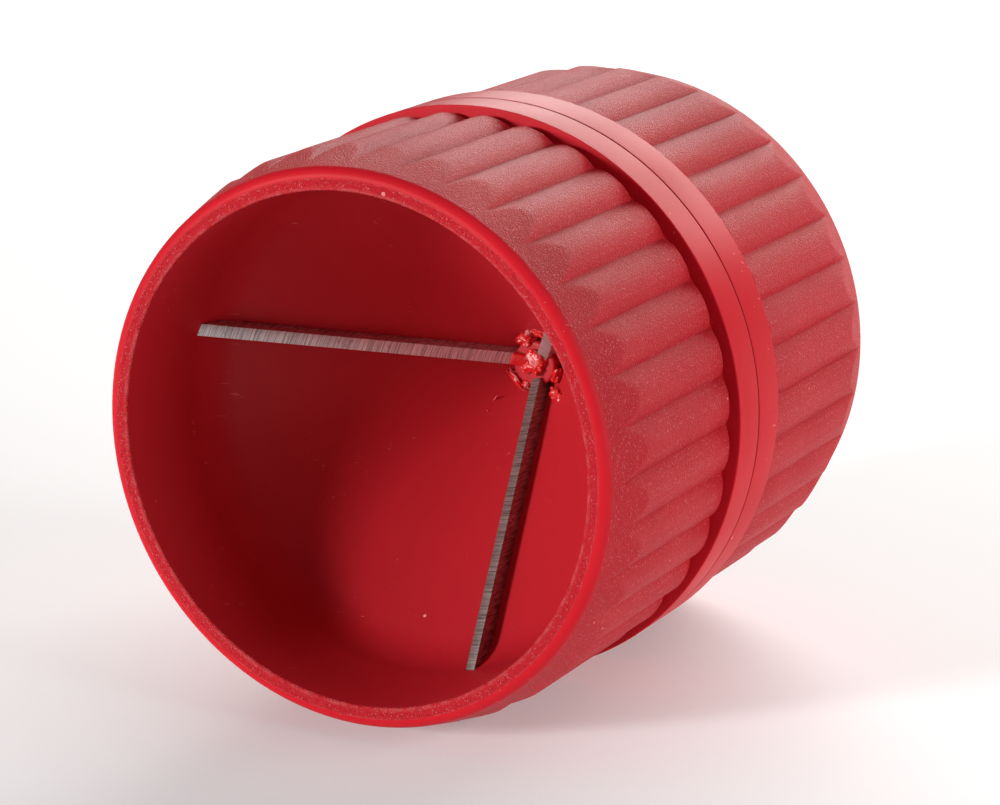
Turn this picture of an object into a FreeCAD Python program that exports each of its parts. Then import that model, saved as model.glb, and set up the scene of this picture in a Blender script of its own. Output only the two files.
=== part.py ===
import FreeCAD, Part

import math
import os

# Hand-held pipe deburring tool for the outside and the inside of a cut pipe end.
#
# Two ribbed plastic shells meet on a seam in the middle of a smooth band.  The
# front shell is an open cup with a cone at its bottom; the back of that cone
# stands up as a male cone inside the rear shell.  Three flat steel blades pass
# right through the cone, so one long edge cuts inside the cup and the other
# long edge cuts on the male cone.
#
# Frame: millimetres, axis of the tool along Y, mouth of the cup towards -Y,
# +Z up, origin on the axis at half the length.  "Depth" is the distance behind
# the front rim, measured along the axis.

# ---------------------------------------------------------------- driving sizes
FRONT_LENGTH = 29.2          # front rim to seam
REAR_LENGTH = 30.8           # seam to rear rim
BAND_RADIUS = 29.0           # smooth band, the widest part
BAND_FRONT_WIDTH = 4.4       # band in front of the seam
BAND_REAR_WIDTH = 4.6        # band behind the seam
BAND_EDGE_ROUND = 0.15       # small round on both edges of the band
SEAM_ROUND = 0.2             # round on each shell where they meet

CREST_RADIUS = 28.45         # top of a grip rib
RIB_HEIGHT = 0.85            # crest above the sharp valley between two ribs
RIB_COUNT = 36               # ribs round each shell
FIRST_VALLEY_ANGLE = 1.0     # degrees from +X towards +Z
RIB_END_SLOPE_LENGTH = 0.7   # length over which a rib falls to the groove
RIB_END_ROUND = 1.3          # round on top of that fall
GROOVE_DEPTH = 0.1           # groove bottom below the rib valleys
GROOVE_WIDTH = 0.7           # plain groove between the ribs and the band

RIM_TAPER_LENGTH = 5.9       # rim to where the crests reach full height
RIM_TAPER_DROP = 1.43        # crest radius less the sharp corner of the rim
RIM_ROUND = 1.05             # outer round of each rim
RIM_INNER_ROUND = 0.25       # inner round of each rim

BORE_RADIUS = 25.0           # inside of both shells
CUP_GUIDE_GAP = 0.1          # straight cup wall ends this far before the blades
MOAT_ROOT_ROUND = 1.0        # fillet at the bottom of the rear ring space
HUB_RADIUS = 2.4             # raised plastic boss at the bottom of the cone
HUB_HEIGHT = 1.4             # boss height above the cone where it stands on it
HUB_ROUND = 0.3
TIP_FLAT_RADIUS = 1.0        # blunt tip of the male cone
TIP_ROUND = 1.5

CONE_HALF_ANGLE = 42.8       # cutting edges to the axis, degrees
EDGE_APEX_DEPTH = 38.5       # where the front cutting edges would meet
BLADE_WIDTH = 8.0            # between the two long edges of a blade
BLADE_THICKNESS = 1.2
BLADE_STAND_OUT = 1.9        # blade edge above the plastic, on both sides
BLADE_RELIEF_ANGLE = 13.0    # grind of the long edges across the thickness
BLADE_INNER_RADIUS = 1.5     # inner end of a blade to the axis
BLADE_FOOT = 1.2             # how far the outer end enters the shell wall
BLADE_FOOT_STEP = 0.6        # foot starts this far behind the cutting edge
BLADE_ANGLES = {"blade_upper": 45.0, "blade_left": 165.0, "blade_lower": 285.0}
SLOT_CLEARANCE = 0.02        # each side of a blade

SPIGOT_WALL = 1.3            # rear shell's register inside the front shell
SPIGOT_CLEARANCE = 0.05      # radial

# ---------------------------------------------------------------- derived sizes
TOTAL_LENGTH = FRONT_LENGTH + REAR_LENGTH
VALLEY_RADIUS = CREST_RADIUS - RIB_HEIGHT
GROOVE_RADIUS = VALLEY_RADIUS - GROOVE_DEPTH
RIM_CORNER_RADIUS = CREST_RADIUS - RIM_TAPER_DROP
TAPER_SLOPE = RIM_TAPER_DROP / RIM_TAPER_LENGTH
RIB_BLANK_RADIUS = CREST_RADIUS + RIB_HEIGHT / 4.0
RELIEF_DROP = BLADE_THICKNESS * math.tan(math.radians(BLADE_RELIEF_ANGLE))
SPIGOT_RADIUS = BORE_RADIUS + SPIGOT_WALL
SOCKET_RADIUS = SPIGOT_RADIUS + SPIGOT_CLEARANCE

SIN_CONE = math.sin(math.radians(CONE_HALF_ANGLE))
TAN_CONE = math.tan(math.radians(CONE_HALF_ANGLE))
REAR_EDGE_APEX_DEPTH = EDGE_APEX_DEPTH + BLADE_WIDTH / SIN_CONE
CUP_CONE_APEX_DEPTH = EDGE_APEX_DEPTH + BLADE_STAND_OUT / SIN_CONE
MALE_CONE_APEX_DEPTH = REAR_EDGE_APEX_DEPTH - BLADE_STAND_OUT / SIN_CONE


def cone_depth(apex_depth, radius):
    """Depth at which a cone with this apex has this radius."""
    return apex_depth - radius / TAN_CONE


SHOULDER_DEPTH = cone_depth(REAR_EDGE_APEX_DEPTH, BORE_RADIUS)
BLADE_START_DEPTH = cone_depth(EDGE_APEX_DEPTH, BORE_RADIUS)
CUP_CORNER_DEPTH = cone_depth(CUP_CONE_APEX_DEPTH, BORE_RADIUS)
CUP_ROOT_REACH = CUP_CORNER_DEPTH - (BLADE_START_DEPTH - CUP_GUIDE_GAP)
CUP_ROOT_ROUND = CUP_ROOT_REACH / math.tan(math.radians(CONE_HALF_ANGLE / 2.0))


# ------------------------------------------------------------------ small tools
def at(radius, depth):
    """Point of a lathe profile, in the half plane of +X."""
    return FreeCAD.Vector(radius, depth - TOTAL_LENGTH / 2.0, 0.0)


def round_corner(before, corner, after, radius):
    """Arc that rounds one corner of an outline."""
    towards_before = (before - corner).normalize()
    towards_after = (after - corner).normalize()
    half_angle = towards_before.getAngle(towards_after) / 2.0
    reach = radius / math.tan(half_angle)
    bisector = (towards_before + towards_after).normalize()
    middle = corner + bisector * (radius / math.sin(half_angle) - radius)
    return Part.Arc(corner + towards_before * reach, middle, corner + towards_after * reach)


def outline_wire(corners):
    """Closed wire through (point, round radius) corners."""
    edges = []
    ends = []
    count = len(corners)
    for index, (point, radius) in enumerate(corners):
        if radius > 0.0:
            before = corners[index - 1][0]
            after = corners[(index + 1) % count][0]
            arc = round_corner(before, point, after, radius).toShape()
            edges.append(arc)
            ends.append((arc.Vertexes[0].Point, arc.Vertexes[-1].Point))
        else:
            edges.append(None)
            ends.append((point, point))
    path = []
    for index in range(count):
        if edges[index] is not None:
            path.append(edges[index])
        start = ends[index][1]
        finish = ends[(index + 1) % count][0]
        if start.distanceToPoint(finish) > 1e-6:
            path.append(Part.LineSegment(start, finish).toShape())
    return Part.Wire(path)


def turned(corners):
    """Solid made by turning an outline once round the tool's axis."""
    face = Part.Face(outline_wire(corners))
    return face.revolve(FreeCAD.Vector(), FreeCAD.Vector(0, 1, 0), 360.0)


def polar(radius, degrees, depth):
    """Point at a radius and an angle from +X towards +Z."""
    angle = math.radians(degrees)
    place = at(0.0, depth)
    return place + FreeCAD.Vector(radius * math.cos(angle), 0.0, radius * math.sin(angle))


# ----------------------------------------------------------------- grip surface
def rib_prism(depth, length):
    """Straight bar whose section is RIB_COUNT round ribs with sharp valleys."""
    pitch = 360.0 / RIB_COUNT
    arcs = []
    for index in range(RIB_COUNT):
        start_angle = FIRST_VALLEY_ANGLE + index * pitch
        start = polar(VALLEY_RADIUS, start_angle, depth)
        crest = polar(CREST_RADIUS, start_angle + pitch / 2.0, depth)
        finish = polar(VALLEY_RADIUS, start_angle + pitch, depth)
        arcs.append(Part.Arc(start, crest, finish).toShape())
    return Part.Face(Part.Wire(arcs)).extrude(FreeCAD.Vector(0.0, length, 0.0))


def grip_envelope(rib_start, rib_end, band_start, band_end):
    """Everything inside the ribs over their stretch, and inside the band."""
    ribs = rib_prism(rib_start, rib_end - rib_start)
    band = Part.makeCylinder(
        BAND_RADIUS + 1.0, band_end - band_start, at(0.0, band_start), FreeCAD.Vector(0, 1, 0)
    )
    return ribs.fuse(band)


def outer_corners(length, band_width):
    """Outer outline of a shell from its seam to its rim, as (radius, inset, round).

    The inset is measured from the rim towards the seam.
    """
    band_inset = length - band_width
    rib_end_inset = band_inset - GROOVE_WIDTH
    return [
        (BAND_RADIUS, length, SEAM_ROUND),
        (BAND_RADIUS, band_inset, BAND_EDGE_ROUND),
        (GROOVE_RADIUS, band_inset, 0.0),
        (GROOVE_RADIUS, rib_end_inset, 0.0),
        (RIB_BLANK_RADIUS, rib_end_inset - RIB_END_SLOPE_LENGTH, RIB_END_ROUND),
        (RIB_BLANK_RADIUS, (RIB_BLANK_RADIUS - RIM_CORNER_RADIUS) / TAPER_SLOPE, 0.0),
        (RIM_CORNER_RADIUS, 0.0, RIM_ROUND),
    ]


# ---------------------------------------------------------------------- shells
def front_shell_blank():
    """Front shell before its blade slots are cut."""
    hub_foot = cone_depth(CUP_CONE_APEX_DEPTH, HUB_RADIUS)
    tip_depth = cone_depth(MALE_CONE_APEX_DEPTH, TIP_FLAT_RADIUS)
    inner = [
        (BORE_RADIUS, 0.0, RIM_INNER_ROUND),
        (BORE_RADIUS, CUP_CORNER_DEPTH, CUP_ROOT_ROUND),
        (HUB_RADIUS, hub_foot, 0.0),
        (HUB_RADIUS, hub_foot - HUB_HEIGHT, HUB_ROUND),
        (0.0, hub_foot - HUB_HEIGHT, 0.0),
        (0.0, tip_depth, 0.0),
        (TIP_FLAT_RADIUS, tip_depth, TIP_ROUND),
        (BORE_RADIUS, cone_depth(MALE_CONE_APEX_DEPTH, BORE_RADIUS), MOAT_ROOT_ROUND),
        (BORE_RADIUS, SHOULDER_DEPTH, 0.0),
        (SOCKET_RADIUS, SHOULDER_DEPTH, 0.0),
        (SOCKET_RADIUS, FRONT_LENGTH, 0.0),
    ]
    profile = inner + outer_corners(FRONT_LENGTH, BAND_FRONT_WIDTH)
    blank = turned([(at(radius, depth), rounding) for radius, depth, rounding in profile])
    groove_middle = FRONT_LENGTH - BAND_FRONT_WIDTH - GROOVE_WIDTH / 2.0
    return blank.common(grip_envelope(-1.0, groove_middle, groove_middle, TOTAL_LENGTH))


def rear_shell():
    """Rear shell: a ribbed skirt with a spigot that enters the front shell."""
    inner = [
        (SPIGOT_RADIUS, FRONT_LENGTH, 0.0),
        (SPIGOT_RADIUS, SHOULDER_DEPTH, 0.0),
        (BORE_RADIUS, SHOULDER_DEPTH, 0.0),
        (BORE_RADIUS, TOTAL_LENGTH, RIM_INNER_ROUND),
    ]
    outer = [
        (radius, TOTAL_LENGTH - inset, rounding)
        for radius, inset, rounding in reversed(outer_corners(REAR_LENGTH, BAND_REAR_WIDTH))
    ]
    blank = turned([(at(radius, depth), rounding) for radius, depth, rounding in inner + outer])
    groove_middle = FRONT_LENGTH + BAND_REAR_WIDTH + GROOVE_WIDTH / 2.0
    envelope = grip_envelope(groove_middle, TOTAL_LENGTH + 1.0, 0.0, groove_middle)
    return blank.common(envelope)


# ---------------------------------------------------------------------- blades
def blade_outline(side, front_drop, rear_drop):
    """Outline of a blade's flat side, in the half plane of +X, set off along Z."""
    front_apex = EDGE_APEX_DEPTH + front_drop / SIN_CONE
    rear_apex = REAR_EDGE_APEX_DEPTH - rear_drop / SIN_CONE
    foot_radius = BORE_RADIUS + BLADE_FOOT
    foot_front = BLADE_START_DEPTH + BLADE_FOOT_STEP
    corners = [
        at(BLADE_INNER_RADIUS, cone_depth(front_apex, BLADE_INNER_RADIUS)),
        at(BORE_RADIUS, cone_depth(front_apex, BORE_RADIUS)),
        at(BORE_RADIUS, foot_front),
        at(foot_radius, foot_front),
        at(foot_radius, SHOULDER_DEPTH),
        at(BORE_RADIUS, SHOULDER_DEPTH - rear_drop / SIN_CONE),
        at(BLADE_INNER_RADIUS, cone_depth(rear_apex, BLADE_INNER_RADIUS)),
    ]
    shift = FreeCAD.Vector(0.0, 0.0, side)
    points = [corner + shift for corner in corners]
    return Part.makePolygon(points + points[:1])


def blade(angle):
    """Flat blade whose two long edges are ground back in opposite senses."""
    half = BLADE_THICKNESS / 2.0
    leading = blade_outline(half, 0.0, RELIEF_DROP)
    trailing = blade_outline(-half, RELIEF_DROP, 0.0)
    return turned_to(Part.makeLoft([leading, trailing], True, True), angle)


def blade_slot(angle):
    """Space that one blade takes out of the front shell."""
    half = BLADE_THICKNESS / 2.0 + SLOT_CLEARANCE
    face = Part.Face(blade_outline(-half, 0.0, 0.0))
    return turned_to(face.extrude(FreeCAD.Vector(0.0, 0.0, 2.0 * half)), angle)


def turned_to(shape, degrees):
    """Shape turned round the tool's axis, from +X towards +Z."""
    result = shape.copy()
    result.rotate(FreeCAD.Vector(), FreeCAD.Vector(0, 1, 0), -degrees)
    return result


def front_shell():
    """Front shell with one through slot for each blade."""
    shell = front_shell_blank()
    for angle in BLADE_ANGLES.values():
        shell = shell.cut(blade_slot(angle))
    return shell


# ---------------------------------------------------------------------- export
def single_solid(shape):
    """The one solid of a shape, refined."""
    solids = shape.removeSplitter().Solids
    if len(solids) != 1:
        raise ValueError("expected one solid, found %d" % len(solids))
    return solids[0]


def main():
    os.makedirs("parts", exist_ok=True)
    nodes = {"front_shell": front_shell(), "rear_shell": rear_shell()}
    for name, angle in BLADE_ANGLES.items():
        nodes[name] = blade(angle)
    for name, shape in nodes.items():
        solid = single_solid(shape)
        solid.exportStep("parts/" + name + ".step")
        box = solid.BoundBox
        print("%-12s valid %s volume %.1f mm3" % (name, solid.isValid(), solid.Volume))
        print("   X %.2f %.2f  Y %.2f %.2f  Z %.2f %.2f"
              % (box.XMin, box.XMax, box.YMin, box.YMax, box.ZMin, box.ZMax))


main()
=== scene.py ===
import logging
import math
from dataclasses import dataclass, field
from enum import Enum

import bmesh
import bpy
from mathutils import Euler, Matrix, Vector, noise


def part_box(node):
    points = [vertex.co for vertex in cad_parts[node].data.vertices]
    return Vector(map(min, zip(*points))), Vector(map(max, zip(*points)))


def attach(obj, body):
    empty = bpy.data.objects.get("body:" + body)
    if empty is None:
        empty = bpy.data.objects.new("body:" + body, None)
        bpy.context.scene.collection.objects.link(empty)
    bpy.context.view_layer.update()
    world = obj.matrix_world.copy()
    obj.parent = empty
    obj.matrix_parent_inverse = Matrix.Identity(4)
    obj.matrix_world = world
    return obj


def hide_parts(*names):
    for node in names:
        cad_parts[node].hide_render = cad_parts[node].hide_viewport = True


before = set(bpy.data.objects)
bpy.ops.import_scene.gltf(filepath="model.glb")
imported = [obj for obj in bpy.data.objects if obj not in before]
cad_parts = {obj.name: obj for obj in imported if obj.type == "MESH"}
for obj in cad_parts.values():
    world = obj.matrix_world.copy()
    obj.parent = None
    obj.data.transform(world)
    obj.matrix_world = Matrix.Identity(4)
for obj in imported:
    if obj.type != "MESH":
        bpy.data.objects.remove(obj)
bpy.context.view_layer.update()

BODY = "root"
MM = 0.001
LOG = logging.getLogger("deburring_tool")

Socket = bpy.types.NodeSocket
Number = float | int | Socket


class Zone(Enum):
    """Stretches of a shell's surface that get different finishes."""

    GRIP = 0
    BAND = 1
    BORE = 2


class Side(Enum):
    """The two flat sides of a blade, seen along its edge from the outer end."""

    LEADING = 1
    TRAILING = -1


# --------------------------------------------------------------------------- node trees
class TreeBuilder:
    """Adds nodes to one node tree and links them in the order that they are asked for."""

    MIX_FACTOR = 0
    MIX_FIRST_COLOUR = 6
    MIX_SECOND_COLOUR = 7
    MIX_COLOUR_RESULT = 2

    def __init__(self, tree: bpy.types.NodeTree) -> None:
        """Keep the tree that nodes are added to.

        Args:
            tree: A shader or geometry node tree.
        """
        self.tree = tree

    def add(self, kind: str, settings: dict[str, object] | None = None,
            **inputs: object) -> bpy.types.Node:
        """Add a node, set its own settings and fill its inputs.

        Args:
            kind: The node's type name.
            settings: Attributes of the node to set before its inputs are filled.
            inputs: Value or socket for each input, named with underscores for spaces.

        Returns:
            The new node.
        """
        node = self.tree.nodes.new(kind)
        for key, value in (settings or {}).items():
            setattr(node, key, value)
        for key, value in inputs.items():
            self.fill(self.input(node, key), value)
        return node

    @staticmethod
    def input(node: bpy.types.Node, key: str) -> Socket:
        """Find an enabled input by its name, written with underscores for spaces."""
        wanted = key.replace("_", " ").lower()
        for socket in node.inputs:
            if socket.enabled and socket.name.lower() == wanted:
                return socket
        raise KeyError(f"{node.bl_idname} has no input {wanted}")

    def fill(self, target: Socket, value: object) -> None:
        """Link a socket to an input, or set the input's value."""
        if isinstance(value, bpy.types.NodeSocket):
            self.tree.links.new(value, target)
        else:
            target.default_value = value

    def math(self, operation: str, *values: Number) -> Socket:
        """Add a Math node.

        Args:
            operation: The node's operation.
            values: Its operands, in order.

        Returns:
            The node's result.
        """
        node = self.tree.nodes.new("ShaderNodeMath")
        node.operation = operation
        for target, value in zip(node.inputs, values):
            self.fill(target, value)
        return node.outputs[0]

    def whole(self, operation: str, first: Number, second: Number) -> Socket:
        """Add an Integer Math node and return its result."""
        node = self.tree.nodes.new("FunctionNodeIntegerMath")
        node.operation = operation
        self.fill(node.inputs[0], first)
        self.fill(node.inputs[1], second)
        return node.outputs[0]

    def ramp(self, value: Number, low: float, high: float, to_low: float = 0.0,
             to_high: float = 1.0) -> Socket:
        """Map a value smoothly from one range onto another.

        Args:
            value: What is mapped.
            low: Value that gives to_low.
            high: Value that gives to_high.
            to_low: Result at and before low.
            to_high: Result at and past high.

        Returns:
            The mapped value.
        """
        node = self.add("ShaderNodeMapRange", {"interpolation_type": "SMOOTHSTEP"}, Value=value,
                        From_Min=low, From_Max=high, To_Min=to_low, To_Max=to_high)
        return node.outputs[0]

    def mix_colour(self, factor: Number, first: object, second: object) -> Socket:
        """Mix two colours.

        Args:
            factor: Share of the second colour.
            first: Colour at a factor of 0.
            second: Colour at a factor of 1.

        Returns:
            The mixed colour.
        """
        node = self.tree.nodes.new("ShaderNodeMix")
        node.data_type = "RGBA"
        self.fill(node.inputs[self.MIX_FACTOR], factor)
        self.fill(node.inputs[self.MIX_FIRST_COLOUR], first)
        self.fill(node.inputs[self.MIX_SECOND_COLOUR], second)
        return node.outputs[self.MIX_COLOUR_RESULT]


def new_group(name: str, inputs: dict[str, float | None],
              outputs: list[str]) -> tuple[TreeBuilder, bpy.types.Node, bpy.types.Node]:
    """Start a shader group with a vector input and named float inputs and outputs.

    Args:
        name: The group's name.
        inputs: Each float input with its usual value; None makes it a vector.
        outputs: Names of the float outputs.

    Returns:
        The builder, the group's input node and its output node.
    """
    tree = bpy.data.node_groups.new(name, "ShaderNodeTree")
    for key, value in inputs.items():
        kind = "NodeSocketVector" if value is None else "NodeSocketFloat"
        socket = tree.interface.new_socket(name=key, in_out="INPUT", socket_type=kind)
        if value is not None:
            socket.default_value = value
    for key in outputs:
        tree.interface.new_socket(name=key, in_out="OUTPUT", socket_type="NodeSocketFloat")
    builder = TreeBuilder(tree)
    return builder, tree.nodes.new("NodeGroupInput"), tree.nodes.new("NodeGroupOutput")


def coarse_specks_group() -> bpy.types.NodeTree:
    """Sparse bright specks of dust: a few of the cells of a cell pattern hold a dot."""
    build, source, result = new_group(
        "specks", {"Place": None, "Cells": 500.0, "Share": 0.2, "Radius": 0.1}, ["Mask"])
    cells = build.add("ShaderNodeTexVoronoi", Vector=source.outputs["Place"],
                      Scale=source.outputs["Cells"])
    parts = build.add("ShaderNodeSeparateColor", Color=cells.outputs["Color"])
    chosen = build.math("LESS_THAN", parts.outputs[0], source.outputs["Share"])
    size = build.math("MULTIPLY", source.outputs["Radius"], parts.outputs[1])
    near = build.math("LESS_THAN", cells.outputs["Distance"], size)
    build.fill(result.inputs["Mask"], build.math("MULTIPLY", chosen, near))
    return build.tree


def scratches_group() -> bpy.types.NodeTree:
    """Fine scratches: the peaks of a stretched and turned noise, gathered in patches."""
    build, source, result = new_group(
        "scratches", {"Place": None, "Fineness": 3200.0, "Turn": 0.6, "Amount": 0.5}, ["Mask"])
    turned = build.add("ShaderNodeVectorRotate", {"rotation_type": "AXIS_ANGLE"},
                       Vector=source.outputs["Place"], Axis=(0.35, 0.25, 0.9),
                       Angle=source.outputs["Turn"])
    long_way = build.add("ShaderNodeMapping", Vector=turned.outputs[0], Scale=(1.0, 0.03, 1.0))
    lines = build.add("ShaderNodeTexNoise", Vector=long_way.outputs[0],
                      Scale=source.outputs["Fineness"], Detail=1.0)
    crest = build.ramp(lines.outputs[0], 0.72, 0.76)
    patches = build.add("ShaderNodeTexNoise", Vector=source.outputs["Place"], Scale=180.0)
    patch = build.ramp(patches.outputs[0], 0.52, 0.66)
    mask = build.math("MULTIPLY", build.math("MULTIPLY", crest, patch), source.outputs["Amount"])
    build.fill(result.inputs["Mask"], mask)
    return build.tree


def grain_group() -> bpy.types.NodeTree:
    """Moulded grain: crisp fine pits over a slower swell, and painted glints on some of its
    facets.
    """
    build, source, result = new_group(
        "grain", {"Place": None, "Fineness": 3800.0, "Swell": 700.0}, ["Height", "Sparkle"])
    fine = build.add("ShaderNodeTexNoise", Vector=source.outputs["Place"],
                     Scale=source.outputs["Fineness"], Detail=3.0, Roughness=0.75)
    swell = build.add("ShaderNodeTexNoise", Vector=source.outputs["Place"],
                      Scale=source.outputs["Swell"], Detail=2.0)
    pits = build.ramp(fine.outputs[0], 0.30, 0.70)
    cells = build.add("ShaderNodeTexVoronoi", Vector=source.outputs["Place"],
                      Scale=source.outputs["Fineness"])
    parts = build.add("ShaderNodeSeparateColor", Color=cells.outputs["Color"])
    dot = build.ramp(cells.outputs["Distance"], 0.15, 0.5, 1.0, 0.0)
    bead = build.math("MULTIPLY_ADD", dot, 0.8, pits)
    build.fill(result.inputs["Height"], build.math("MULTIPLY_ADD", swell.outputs[0], 0.6, bead))
    # Painted glint: bright dots on a random share of the facets, standing in for the highlights
    # of facets that catch the light.
    facing = build.ramp(parts.outputs[0], 0.45, 1.0)
    build.fill(result.inputs["Sparkle"], build.math("MULTIPLY", dot, facing))
    return build.tree


def rim_rub_and_highlight_group() -> bpy.types.NodeTree:
    """Wear and painted highlight round both rims: strongest on the inner and outer edges of the
    flat rings.
    """
    build, source, result = new_group(
        "rim_rub_and_highlight", {"Place": None, "Half Length": 0.03, "Edge Radius": 0.025,
                     "Width": 0.0004}, ["Mask"])
    parts = build.add("ShaderNodeSeparateXYZ", Vector=source.outputs["Place"])
    across = build.math("POWER", build.math("ADD", build.math("POWER", parts.outputs[0], 2.0),
                                            build.math("POWER", parts.outputs[2], 2.0)), 0.5)
    off_edge = build.math("ABSOLUTE", build.math("SUBTRACT", across,
                                                 source.outputs["Edge Radius"]))
    off_rim = build.math("SUBTRACT", source.outputs["Half Length"],
                         build.math("ABSOLUTE", parts.outputs[1]))
    distance = build.math("ADD", off_edge, off_rim)
    share = build.math("DIVIDE", distance, source.outputs["Width"])
    patches = build.add("ShaderNodeTexNoise", Vector=source.outputs["Place"], Scale=900.0,
                        Detail=4.0)
    rubbed_and_highlit = build.math("MULTIPLY", build.ramp(share, 0.3, 1.0, 1.0, 0.0),
                      build.ramp(patches.outputs[0], 0.3, 0.7))
    build.fill(result.inputs["Mask"], rubbed_and_highlit)
    return build.tree


class EffectGroups:
    """The shader groups that several finishes place, each built once."""

    def __init__(self) -> None:
        """Build every group."""
        self.specks = coarse_specks_group()
        self.scratches = scratches_group()
        self.grain = grain_group()
        self.rim_rub_and_highlight = rim_rub_and_highlight_group()


# ------------------------------------------------------------------------------ finishes
Colour = tuple[float, float, float, float]


@dataclass(frozen=True)
class Finish:
    """What every finish has: a name and the name of the slot that it belongs to."""

    name: str
    slot: str

    def start(self) -> tuple[bpy.types.Material, TreeBuilder, bpy.types.Node, Socket]:
        """Make an empty material around a Principled shader.

        Returns:
            The material, its builder, the shader and the surface's own coordinates.
        """
        material = bpy.data.materials.new(self.name)
        material.use_nodes = True
        build = TreeBuilder(material.node_tree)
        shader = material.node_tree.nodes["Principled BSDF"]
        place = build.add("ShaderNodeTexCoord").outputs["Object"]
        return material, build, shader, place

    @staticmethod
    def place_group(build: TreeBuilder, group: bpy.types.NodeTree, place: Socket,
                    **values: float) -> bpy.types.Node:
        """Place a shared group in a material with its own values."""
        node = build.tree.nodes.new("ShaderNodeGroup")
        node.node_tree = group
        build.fill(node.inputs["Place"], place)
        for key, value in values.items():
            build.fill(build.input(node, key), value)
        return node

    @staticmethod
    def bump(build: TreeBuilder, shader: bpy.types.Node, height: Socket, depth: float,
             strength: float) -> None:
        """Feed a height into the shader's normal."""
        node = build.add("ShaderNodeBump", Height=height, Distance=depth, Strength=strength)
        build.fill(shader.inputs["Normal"], node.outputs[0])


@dataclass(frozen=True)
class RedPlastic(Finish):
    """Red moulded plastic, as textured or as smooth as its values make it."""

    colour: Colour = (0.56, 0.011, 0.021, 1.0)
    deep_colour: Colour = (0.40, 0.006, 0.013, 1.0)
    # Pale colour of dust, scratches and rim wear, also used for the painted glints and the
    # painted rim highlight.
    pale_colour: Colour = (0.86, 0.34, 0.32, 1.0)
    # Dark red of the painted shade along the seam.
    seam_shade_colour: Colour = (0.17, 0.003, 0.006, 1.0)
    deep_share: float = 0.35
    cloud_scale: float = 60.0
    roughness: float = 0.42
    rough_swing: float = 0.08
    marks_roughness: float = 0.2
    refraction: float = 1.24
    grain_depth: float = 0.085 * MM
    grain_strength: float = 1.0
    grain_fineness: float = 4500.0
    # Share of painted glint mixed into the base colour.
    sparkle: float = 0.42
    speck_share: float = 0.10
    speck_strength: float = 0.8
    scratch_amount: float = 0.35
    # Rim edges: pale marks that are partly wear and partly painted highlight.
    rubbed_and_highlit_edges: bool = False
    rub_and_highlight_strength: float = 0.16
    rub_and_highlight_inner_radius: float = 25.1 * MM
    rub_and_highlight_outer_radius: float = 26.3 * MM
    rub_and_highlight_outer_width: float = 0.3 * MM
    seam: float | None = None
    seam_width: float = 0.16 * MM
    glow_through: float = 0.12
    glow_reach: float = 0.9 * MM
    glow_colours: tuple[float, float, float] = (1.0, 0.12, 0.08)

    def material(self, groups: EffectGroups) -> bpy.types.Material:
        """Build the material.

        Args:
            groups: The shared effects.

        Returns:
            The material.
        """
        material, build, shader, place = self.start()
        grain = self.place_group(build, groups.grain, place, Fineness=self.grain_fineness)
        specks = self.place_group(build, groups.specks, place, Share=self.speck_share)
        scratches = self.place_group(build, groups.scratches, place,
                                     Amount=self.scratch_amount)
        cloud = build.add("ShaderNodeTexNoise", Vector=place, Scale=self.cloud_scale,
                          Detail=3.0)
        shade = build.ramp(cloud.outputs[0], 0.3, 0.7)
        colour = build.mix_colour(build.math("MULTIPLY", shade, self.deep_share), self.colour,
                                  self.deep_colour)
        # Painted glint from the grain, mixed into the base colour below as pale highlight dots.
        painted_glint = build.math("MULTIPLY", grain.outputs["Sparkle"], self.sparkle)
        dust = build.math("MULTIPLY", specks.outputs[0], self.speck_strength)
        marks = build.math("MAXIMUM", dust, scratches.outputs[0])
        # Wear on the rim edges, which also paints a pale highlight along them.
        if self.rubbed_and_highlit_edges:
            inner = self.place_group(build, groups.rim_rub_and_highlight, place,
                                     Edge_Radius=self.rub_and_highlight_inner_radius)
            outer = self.place_group(build, groups.rim_rub_and_highlight, place,
                                     Edge_Radius=self.rub_and_highlight_outer_radius,
                                     Width=self.rub_and_highlight_outer_width)
            rubbed_and_highlit = build.math("MAXIMUM", inner.outputs[0], outer.outputs[0])
            marks = build.math("MAXIMUM", marks,
                               build.math("MULTIPLY", rubbed_and_highlit, self.rub_and_highlight_strength))
        # Painted shade: a dark line along the seam, where the crevice between the shells lies in
        # shade.
        if self.seam is not None:
            colour = build.mix_colour(self.painted_seam_shade(build, place), colour, self.seam_shade_colour)
        # Pale share: painted glint and painted rim highlight, together with real dust, scratches
        # and rim wear.
        pale = build.math("MAXIMUM", painted_glint, marks)
        build.fill(shader.inputs["Base Color"], build.mix_colour(pale, colour, self.pale_colour))
        rough = build.math("MULTIPLY_ADD", shade, self.rough_swing, self.roughness)
        build.fill(shader.inputs["Roughness"],
                   build.math("MULTIPLY_ADD", marks, self.marks_roughness, rough))
        self.bump(build, shader, grain.outputs["Height"], self.grain_depth, self.grain_strength)
        shader.inputs["IOR"].default_value = self.refraction
        shader.inputs["Subsurface Weight"].default_value = self.glow_through
        shader.inputs["Subsurface Radius"].default_value = self.glow_colours
        shader.inputs["Subsurface Scale"].default_value = self.glow_reach
        return material

    def painted_seam_shade(self, build: TreeBuilder, place: Socket) -> Socket:
        """Uneven dark line where the two shells meet: painted shade in the crevice between them.
        """
        parts = build.add("ShaderNodeSeparateXYZ", Vector=place)
        waver = build.add("ShaderNodeTexNoise", Vector=place, Scale=300.0, Detail=3.0)
        drift = build.math("MULTIPLY", build.math("SUBTRACT", waver.outputs[0], 0.5),
                           self.seam_width)
        off = build.math("ABSOLUTE", build.math("SUBTRACT", build.math(
            "ADD", parts.outputs[1], drift), self.seam))
        line = build.ramp(off, self.seam_width * 0.4, self.seam_width, 1.0, 0.0)
        return build.math("MULTIPLY", line, build.ramp(waver.outputs[0], 0.3, 0.6, 0.45, 1.0))


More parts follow.
